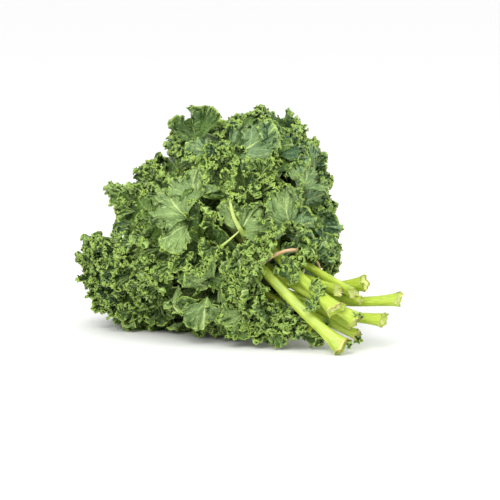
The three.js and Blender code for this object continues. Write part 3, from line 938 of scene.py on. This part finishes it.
def bare_rib_path(places, thickness):
    knots = np.array([on_dome(*place) for place in places])
    t = np.linspace(0, len(knots) - 1, BARE_RIB_STEPS)
    centres = line_at(t, range(len(knots)), knots)
    width = thickness * np.linspace(*BARE_RIB_TAPER, BARE_RIB_STEPS)
    tone = np.linspace(*BARE_RIB_TONE, BARE_RIB_STEPS)
    return centres, unit(centres - dome_centre), width, width, tone


STALK_GRID = (84, 20)
END_STEPS = 4  # rings of the cut face
# Furrows along a stalk: how many go round it, how much they wind with each mm, and how deep they are as
# a share of its radius. The cut end has them deeper by DEEPER_AT_CUT over about CUT_LENGTH.
FURROWS = ((5, 0, 0.05), (9, 0, 0.035), (3, 0.09, 0.02))
DEEPER_AT_CUT, CUT_LENGTH = 1.5, 9
GROOVE_DEPTH, GROOVE_BREADTH = 0.16, 0.5  # of the channel along its upper side: share of radius, radians
LIP, LIP_LENGTH = 0.16, 3  # how much the edge of the cut spreads, as a share of the radius
TEARS = ((3, 1.3), (7, 0.9))  # of that edge: how many and how far they stand out
HOLLOW = 3.2 / 6  # depth of the dip in the cut face, as a share of the radius


def stalk_shape(path, rng):
    centres, out, width, thickness, along_rib = path
    distance = run_of(centres)
    ridges = rng.uniform(0, 6, 4)

    def shape(a, b):
        step = np.rint((a + 1) / 2 * STALK_GRID[0])
        t = np.clip((step - END_STEPS) / (STALK_GRID[0] - END_STEPS - 1), 0, 1)
        s = distance[-1] * t**1.35
        turn = np.pi * b
        middle = line_at(s, distance, centres)
        forward = unit(line_at(s, distance, np.gradient(centres, axis=0)))
        away = line_at(s, distance, out)
        away = unit(away - forward * (away * forward).sum(-1, keepdims=True))
        across = np.cross(away, forward)
        half_breadth = np.interp(s, distance, width) / 2
        half_depth = np.interp(s, distance, thickness) / 2
        furrows = sum(
            depth * np.cos(count * turn + wind * s + start)
            for (count, wind, depth), start in zip(FURROWS, ridges)
        )
        groove = -GROOVE_DEPTH * np.exp(-((turn / GROOVE_BREADTH) ** 2))
        near_cut = np.exp(-s / CUT_LENGTH)
        size = 1 + furrows * (1 + DEEPER_AT_CUT * near_cut) + groove + LIP * np.exp(-s / LIP_LENGTH)
        tears = (ridges[3], ridges[1])
        torn = near_cut * sum(
            height * np.cos(count * turn + start) for (count, height), start in zip(TEARS, tears)
        )
        inside = np.clip((END_STEPS - step) / END_STEPS, 0, 1)
        closing = np.where(step == STALK_GRID[0], 0, 1)
        size = size * (1 - inside**1.6) * closing
        hollow = HOLLOW * np.sin(np.pi / 2 * np.minimum(inside * 1.6, 1)) * half_breadth
        slide = hollow + torn * (1 - inside)
        section = (half_breadth * size * np.sin(turn), across), (half_depth * size * np.cos(turn), away)
        points = moved(middle, *section, (slide, forward))
        opened = np.exp(-s / 1.6) + inside
        uv = np.stack([turn / np.pi * 3, s / 30], axis=-1)
        return points, opened, np.interp(s, distance, along_rib), uv

    return shape


def stalk_piece(leaf):
    rng = np.random.default_rng(900 + int(leaf.azimuth))
    sheet = SheetMesh()
    sheet.add(*STALK_GRID, stalk_shape(stalk_path(leaf), rng))
    if leaf.name in BARE_RIBS:
        sheet.add(*STALK_GRID, stalk_shape(bare_rib_path(*BARE_RIBS[leaf.name]), rng))
    return sheet.build(leaf.name + "_stem", [STALK], closed=True)


# ---- Materials ----


class Nodes:
    """A material with its nodes, which are wired up one by one."""

    def __init__(self, name):
        self.material = bpy.data.materials.new(name)
        self.material.use_nodes = True
        self.tree = self.material.node_tree
        self.shader = self.tree.nodes["Principled BSDF"]

    def put(self, value, target):
        if hasattr(value, "is_output"):
            self.tree.links.new(value, target)
        else:
            target.default_value = value

    def add(self, kind, inputs=(), **values):
        node = self.tree.nodes.new(kind)
        for key, value in values.items():
            setattr(node, key, value)
        for key, value in inputs:
            self.put(value, node.inputs[key])
        return node

    def maths(self, operation, a, b=0.0, c=0.0):
        return self.add("ShaderNodeMath", enumerate((a, b, c)), operation=operation).outputs[0]

    def times(self, a, b):
        return self.maths("MULTIPLY", a, b)

    def ramp(self, value, low, high, out_low=0.0, out_high=1.0):
        given = enumerate((value, low, high, out_low, out_high))
        return self.add("ShaderNodeMapRange", given, interpolation_type="SMOOTHSTEP").outputs[0]

    def mix(self, share, a, b):
        return self.add("ShaderNodeMix", ((0, share), (6, a), (7, b)), data_type="RGBA").outputs[2]

    def vein_map(self):
        return self.add("ShaderNodeUVMap", uv_map="veins").outputs["UV"]

    def object_point(self):
        return self.add("ShaderNodeTexCoord").outputs["Object"]

    def noise(self, scale, detail=2.0, source=None):
        given = ("Scale", scale), ("Detail", detail), ("Vector", source or self.object_point())
        return self.add("ShaderNodeTexNoise", given).outputs["Fac"]

    def cells(self, scale, source, feature):
        given = ("Scale", scale), ("Vector", source)
        return self.add("ShaderNodeTexVoronoi", given, feature=feature).outputs["Distance"]

    def attribute(self, name):
        return self.add("ShaderNodeAttribute", attribute_name=name).outputs["Fac"]

    def bump(self, height, distance, strength, under=None):
        given = [("Strength", strength), ("Distance", distance), ("Height", height)]
        if under:
            given.append(("Normal", under))
        return self.add("ShaderNodeBump", given).outputs["Normal"]

    def finish(self, colour, roughness, normal=None):
        self.put(colour, self.shader.inputs["Base Color"])
        self.put(roughness, self.shader.inputs["Roughness"])
        if normal:
            self.put(normal, self.shader.inputs["Normal"])
        return self.material


def rgb(r, g, b):
    def linear(c):
        c /= 255
        return c / 12.92 if c <= 0.04045 else ((c + 0.055) / 1.055) ** 2.4

    return (linear(r), linear(g), linear(b), 1.0)


# Marks on a leaf: side veins and cells of the fine net to each unit of the vein map, how far the side
# veins slant, and light patches and blisters to the metre
SIDE_VEINS, NET_CELLS, VEIN_SLANT = 1.25, 3.4, 0.8
PATCHES, BLISTERS = 38, 360
QUILT_DEPTH, BLISTER_DEPTH, VEIN_DEPTH = 0.0011, 0.0009, 0.0006  # m


def leaf_material(name, colours, roughness, vein_relief):
    """A leaf surface: blistered between its veins and paler along them, with painted highlights at its
    thin edge and on the tips of its blisters. Its colours are the deep green, the light green, the bluish
    bloom, which is also painted shade towards the top of the bunch, the veins and the edge, the colour of
    the painted highlights."""
    deep, light, bloom_and_shade, vein, edge = (rgb(*colour) for colour in colours)
    n = Nodes(name)
    uv = n.vein_map()
    split = n.add("ShaderNodeSeparateXYZ", ((0, uv),))
    wander = n.maths("MULTIPLY_ADD", n.noise(1.6, 2, uv), 0.5, -0.25)
    across = n.maths("ABSOLUTE", n.maths("ADD", split.outputs[0], n.times(wander, 0.5)))
    along = n.maths("ADD", split.outputs[1], wander)
    middle = n.ramp(across, 0.03, 0.13, 1.0, 0.0)
    rung = n.times(n.maths("SUBTRACT", along, n.times(across, VEIN_SLANT)), SIDE_VEINS)
    from_rung = n.maths("ABSOLUTE", n.maths("SUBTRACT", n.maths("FRACT", rung), 0.5))
    side = n.ramp(from_rung, 0.02, 0.09, 0.6, 0.0)
    net = n.cells(NET_CELLS, uv, "DISTANCE_TO_EDGE")
    fine = n.ramp(net, 0.01, 0.08, 0.2, 0.0)
    veins = n.maths("MAXIMUM", middle, n.maths("MAXIMUM", side, fine))
    quilt = n.times(n.ramp(from_rung, 0.05, 0.4), n.ramp(net, 0.0, 0.3))
    tone = n.attribute("tone")
    body = n.mix(n.ramp(n.noise(PATCHES, 3), 0.35, 0.7), deep, light)
    # the tone lays on the bluish bloom, and towards the top of the bunch painted shade in the same colour
    body = n.mix(n.times(n.ramp(tone, 0.35, 0.95), 0.8), body, bloom_and_shade)
    body = n.mix(n.times(veins, 0.75), body, vein)
    blisters = n.cells(BLISTERS, n.object_point(), "SMOOTH_F1")
    # painted highlights in the edge colour: on the tips of the blisters, more towards the margin, and over
    # the last of the margin itself
    bead_highlights = n.ramp(blisters, 0.12, 0.5, 0.4, 0.0)
    rim = n.attribute("rim")
    body = n.mix(n.times(bead_highlights, n.ramp(rim, 0.0, 0.5, 0.25, 1.0)), body, edge)
    colour = n.mix(n.ramp(rim, 0.8, 1.0, 0.0, 0.9), body, edge)
    n.shader.inputs["Specular IOR Level"].default_value = 0.35
    blistered = n.bump(blisters, BLISTER_DEPTH, 0.6)
    quilted = n.bump(quilt, QUILT_DEPTH, 0.6, blistered)
    return n.finish(colour, roughness, n.bump(veins, VEIN_DEPTH * vein_relief, 0.8, quilted))


# deep green, light green, bluish bloom (also the painted shade), veins, and the edge colour of the painted
# highlights
UPPER_COLOURS = ((46, 73, 24), (82, 113, 40), (50, 86, 62), (136, 162, 84), (160, 189, 84))
UNDER_COLOURS = ((100, 127, 72), (136, 162, 94), (98, 130, 104), (192, 212, 136), (158, 187, 90))
LEAF_UPPER = leaf_material("leaf_upper", UPPER_COLOURS, 0.5, -1)  # its veins are sunk
LEAF_UNDER = leaf_material("leaf_under", UNDER_COLOURS, 0.6, 1)  # and stand out here


def mottled(name, scale, one, other, roughness):
    n = Nodes(name)
    return n.finish(n.mix(n.noise(scale), rgb(*one), rgb(*other)), roughness)


# the thin edge faces of the leaves, pale yellow-green: a painted highlight along the margins
LEAF_EDGE_HIGHLIGHT = mottled("leaf_edge_highlight", 120, (128, 158, 62), (168, 194, 98), 0.5)
LEAF_MATERIALS = (LEAF_UPPER, LEAF_UNDER, LEAF_EDGE_HIGHLIGHT)


def stalk_material():
    """Ribbed and fibrous along its length, pale at the foot, greener in the leaf, browned at the cut."""
    n = Nodes("stalk")
    fibres = n.add("ShaderNodeMapping", (("Scale", (4.5, 1.1, 1)), ("Vector", n.vein_map())))
    streaks = n.noise(2.2, 5, fibres.outputs[0])
    patches = n.noise(60, 3)
    colour = n.mix(n.ramp(streaks, 0.3, 0.7), rgb(148, 174, 46), rgb(190, 208, 82))
    colour = n.mix(n.times(n.ramp(patches, 0.5, 0.75), 0.45), colour, rgb(116, 148, 48))
    colour = n.mix(n.ramp(n.attribute("tone"), 0.0, 0.55), colour, rgb(132, 160, 76))
    colour = n.mix(n.ramp(n.attribute("tone"), -1.0, 0.0, 1.0, 0.0), colour, rgb(172, 188, 112))
    cut = n.mix(n.ramp(n.noise(150, 3), 0.35, 0.65), rgb(176, 190, 92), rgb(212, 222, 138))
    lip = n.mix(n.ramp(n.noise(200, 2), 0.42, 0.58), rgb(158, 136, 66), rgb(204, 208, 112))
    colour = n.mix(n.ramp(n.attribute("rim"), 0.65, 1.0), colour, lip)
    colour = n.mix(n.ramp(n.attribute("rim"), 1.05, 1.3), colour, cut)
    streaked = n.bump(streaks, 0.0005, 0.4)
    return n.finish(colour, 0.36, n.bump(n.noise(900, 3), 0.0002, 0.3, streaked))


STALK = stalk_material()
BAND = mottled("rubber_band", 200, (206, 166, 124), (228, 194, 152), 0.55)


# ---- Putting the bunch together ----


def finish_piece(piece, nodes):
    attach(piece, "root")
    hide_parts(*nodes)


for leaf in leaves:
    finish_piece(leaf_piece(leaf, LEAF_MATERIALS), [leaf.name + "_blade"])
for number, row in enumerate(LEAFLETS, 1):
    finish_piece(leaflet_piece(number, *row, LEAF_MATERIALS), [f"leaflet_{number:02d}"])

for leaf in leaves:
    finish_piece(stalk_piece(leaf), [leaf.name + "_stalk"])

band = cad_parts["rubber_band"]
band.data.materials.clear()
band.data.materials.append(BAND)

# ---- Floor, light and camera ----

FLOOR_SIZE = 30  # m
FLOOR_COLOUR = (0.86, 0.86, 0.86, 1)


def floor_piece():
    bm = bmesh.new()
    bmesh.ops.create_grid(bm, x_segments=1, y_segments=1, size=FLOOR_SIZE)
    mesh = bpy.data.meshes.new("floor")
    bm.to_mesh(mesh)
    bm.free()
    piece = in_scene("floor", mesh)
    mesh.materials.append(Nodes("floor").finish(FLOOR_COLOUR, 0.9))
    return piece


floor_piece()


# Lamps: to the right, towards the broad view and up, size, all in metres, power in watts and colour
SOFTBOXES = {
    "key": (-0.55, 1.7, 1.5, 1.5, 37, (1, 0.99, 0.96)),
    "fill": (2.0, 1.2, 1.2, 2.0, 16, (0.96, 0.98, 1)),
}
LAMP_AIM = np.array([0, 0, 0.1])
SKY_STRENGTH = 1.12

for name, (right, near, up, size, power, colour) in SOFTBOXES.items():
    light = bpy.data.lights.new(name, "AREA")
    light.shape = "DISK"
    light.size = size
    light.energy = power
    light.color = colour
    lamp = in_scene(name, light)
    lamp.location = right * view_right + near * level_toward + np.array([0, 0, up])
    direction = LAMP_AIM - np.array(lamp.location)
    lamp.rotation_euler = Vector(direction).to_track_quat("-Z", "Y").to_euler()

world = bpy.data.worlds.new("studio")
bpy.context.scene.world = world
world.use_nodes = True
sky = world.node_tree.nodes["Background"]
sky.inputs[0].default_value = (1, 1, 1, 1)
sky.inputs[1].default_value = SKY_STRENGTH
bpy.context.scene.view_settings.view_transform = "Standard"

VIEW_DISTANCE, VIEW_BREADTH = 2500, 500  # mm
MIDDLE_OFFSET = (18, -23.5)  # mm, right and up, from the middle of the foliage to the middle of the view
SENSOR_WIDTH = 36
target = dome_centre + MIDDLE_OFFSET[0] * view_right + MIDDLE_OFFSET[1] * view_up
camera_data = bpy.data.cameras.new("camera")
camera_data.sensor_width = SENSOR_WIDTH
camera_data.lens = SENSOR_WIDTH * VIEW_DISTANCE / VIEW_BREADTH
camera_data.clip_end = 100
camera = in_scene("camera", camera_data)
camera.location = (target + VIEW_DISTANCE * toward) * MM
camera.rotation_euler = Vector(-toward).to_track_quat("-Z", "Y").to_euler()
bpy.context.scene.camera = camera
